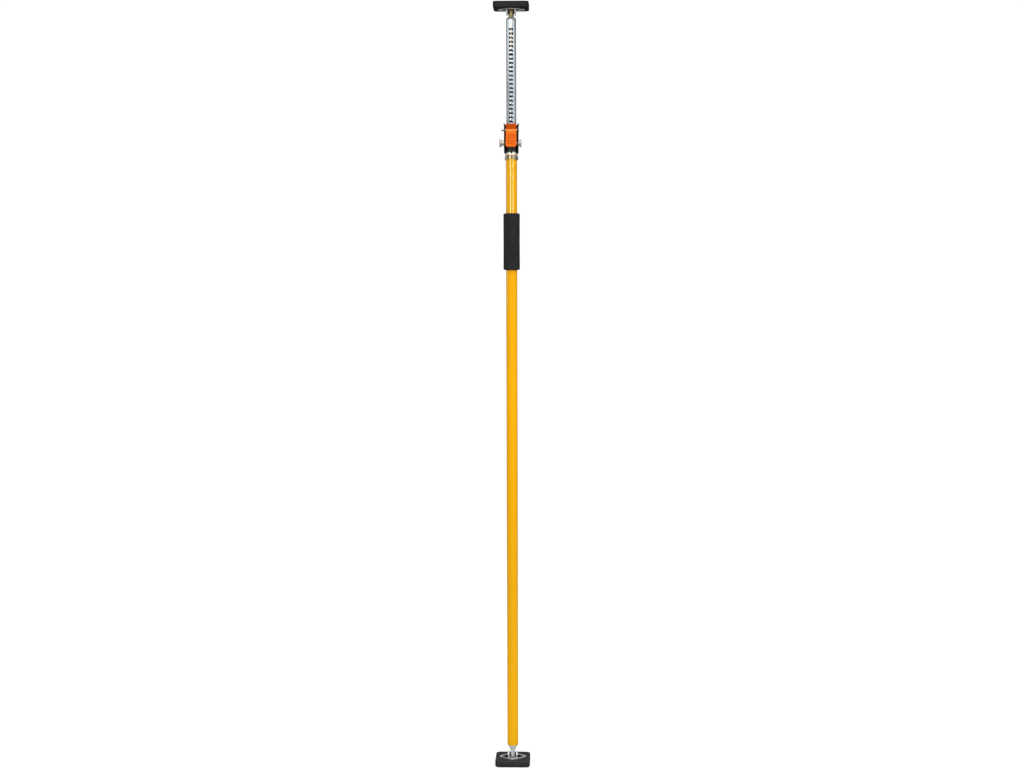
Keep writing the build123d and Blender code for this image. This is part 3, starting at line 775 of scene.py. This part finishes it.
# ------------------------------------------------------------- stage and light
def floor_material():
    mat = bpy.data.materials.new("studio_floor")
    mat.use_nodes = True
    t = mat.node_tree
    t.nodes.clear()
    out = t.nodes.new("ShaderNodeOutputMaterial")
    paint = t.nodes.new("ShaderNodeBsdfDiffuse")
    paint.inputs["Color"].default_value = (0.86, 0.86, 0.86, 1)
    glow = t.nodes.new("ShaderNodeEmission")
    glow.inputs["Color"].default_value = (1, 1, 1, 1)
    glow.inputs["Strength"].default_value = 0.37
    both = t.nodes.new("ShaderNodeAddShader")
    t.links.new(paint.outputs[0], both.inputs[0])
    t.links.new(glow.outputs[0], both.inputs[1])
    clear = t.nodes.new("ShaderNodeBsdfTransparent")
    fade = t.nodes.new("ShaderNodeMixShader")
    place = t.nodes.new("ShaderNodeTexCoord")
    far = t.nodes.new("ShaderNodeVectorMath")
    far.operation = "LENGTH"
    t.links.new(place.outputs["Object"], far.inputs[0])
    edge = t.nodes.new("ShaderNodeMapRange")
    edge.interpolation_type = "SMOOTHSTEP"
    edge.inputs["From Min"].default_value = 0.8
    edge.inputs["From Max"].default_value = 3.0
    t.links.new(far.outputs["Value"], edge.inputs["Value"])
    t.links.new(edge.outputs["Result"], fade.inputs[0])
    t.links.new(both.outputs[0], fade.inputs[1])
    t.links.new(clear.outputs[0], fade.inputs[2])
    t.links.new(fade.outputs[0], out.inputs[0])
    return mat


bm = bmesh.new()
bmesh.ops.create_circle(bm, cap_ends=True, radius=4.0, segments=96)
me = bpy.data.meshes.new("studio_floor")
bm.to_mesh(me)
bm.free()
floor = bpy.data.objects.new("studio_floor", me)
floor.location = (0, 0, -0.0003)
SCENE.collection.objects.link(floor)
me.materials.append(floor_material())
floor.visible_glossy = False

world = bpy.data.worlds.new("studio")
SCENE.world = world
world.use_nodes = True
wt = world.node_tree
wt.nodes.clear()
w_out = wt.nodes.new("ShaderNodeOutputWorld")
w_mix = wt.nodes.new("ShaderNodeMixShader")
w_path = wt.nodes.new("ShaderNodeLightPath")
w_seen = wt.nodes.new("ShaderNodeBackground")
w_seen.inputs["Color"].default_value = (1, 1, 1, 1)
w_seen.inputs["Strength"].default_value = 1.03
w_room = wt.nodes.new("ShaderNodeBackground")
w_room.inputs["Color"].default_value = (0.93, 0.97, 1.0, 1)
w_room.inputs["Strength"].default_value = 0.10
wt.links.new(w_path.outputs["Is Camera Ray"], w_mix.inputs[0])
wt.links.new(w_room.outputs[0], w_mix.inputs[1])
wt.links.new(w_seen.outputs[0], w_mix.inputs[2])
wt.links.new(w_mix.outputs[0], w_out.inputs[0])


def softbox(name, azimuth, distance, z0, z1, width, radiance, colour=(1, 1, 1), aim=None):
    """An upright or tilted rectangular light. Azimuth 0 is in front of the object."""
    a = math.radians(azimuth)
    centre = Vector((math.sin(a) * distance, -math.cos(a) * distance, (z0 + z1) / 2))
    data = bpy.data.lights.new(name, "AREA")
    data.shape = "RECTANGLE"
    data.size, data.size_y = width, z1 - z0
    data.energy = radiance * math.pi * width * (z1 - z0)
    data.color = colour
    ob = bpy.data.objects.new(name, data)
    SCENE.collection.objects.link(ob)
    ob.location = centre
    target = Vector(aim) if aim else Vector((0, 0, centre.z))
    ob.rotation_mode = "QUATERNION"
    ob.rotation_quaternion = (target - centre).to_track_quat("-Z", "Y")
    ob.visible_camera = False
    return ob


softbox("overhead", 22, 2.2, 2.9, 6.3, 5.0, 2.8, aim=(0, 0, 0.8))
softbox("strip_left", -21, 2.6, 1.18, 1.54, 0.48, 17.5)
softbox("strip_right", 33, 2.7, 1.18, 1.54, 0.34, 17.0)
softbox("over_camera", -8, 4.0, 2.05, 3.1, 6.4, 3.0)
softbox("over_left", -74, 4.0, 1.98, 3.0, 4.0, 1.5)
softbox("side_left", -106, 3.2, 0.9, 1.56, 1.0, 2.0)
softbox("side_right", 64, 3.2, 1.52, 2.8, 1.0, 2.4)
softbox("fill_right", 68, 3.0, 0.35, 1.05, 1.4, 3.2).visible_glossy = False
softbox("overhead_back", 180, 2.4, 2.9, 5.2, 4.0, 1.3, aim=(0, 0, 0.8))
softbox("back_left", -155, 3.4, 0.7, 2.9, 0.9, 4.6).visible_glossy = False
softbox("back_right", 150, 3.4, 0.7, 2.9, 0.9, 4.6).visible_glossy = False

# ----------------------------------------------------------------------- camera
AZ, EL, DIST, AIM_Z, ROLL = 1.8, 5.0, 3.778, 0.8711, -0.14
data = bpy.data.cameras.new("camera")
data.sensor_fit, data.sensor_width = "HORIZONTAL", 36.0
data.lens = 1680.0 * 36.0 / 1024.0
data.clip_start, data.clip_end = 0.05, 100.0
camera = bpy.data.objects.new("camera", data)
SCENE.collection.objects.link(camera)
a, e = math.radians(AZ), math.radians(EL)
back = Vector((math.sin(a) * math.cos(e), -math.cos(a) * math.cos(e), math.sin(e)))
camera.location = Vector((0, 0, AIM_Z)) + back * DIST
turned = (-back).to_track_quat("-Z", "Y").to_matrix() @ Matrix.Rotation(math.radians(ROLL), 3, "Z")
camera.rotation_mode = "QUATERNION"
camera.rotation_quaternion = turned.to_quaternion()
SCENE.camera = camera

SCENE.view_settings.view_transform = "Standard"
SCENE.view_settings.look = "None"
SCENE.view_settings.exposure = 0.0
SCENE.view_settings.gamma = 1.0

bpy.context.view_layer.update()
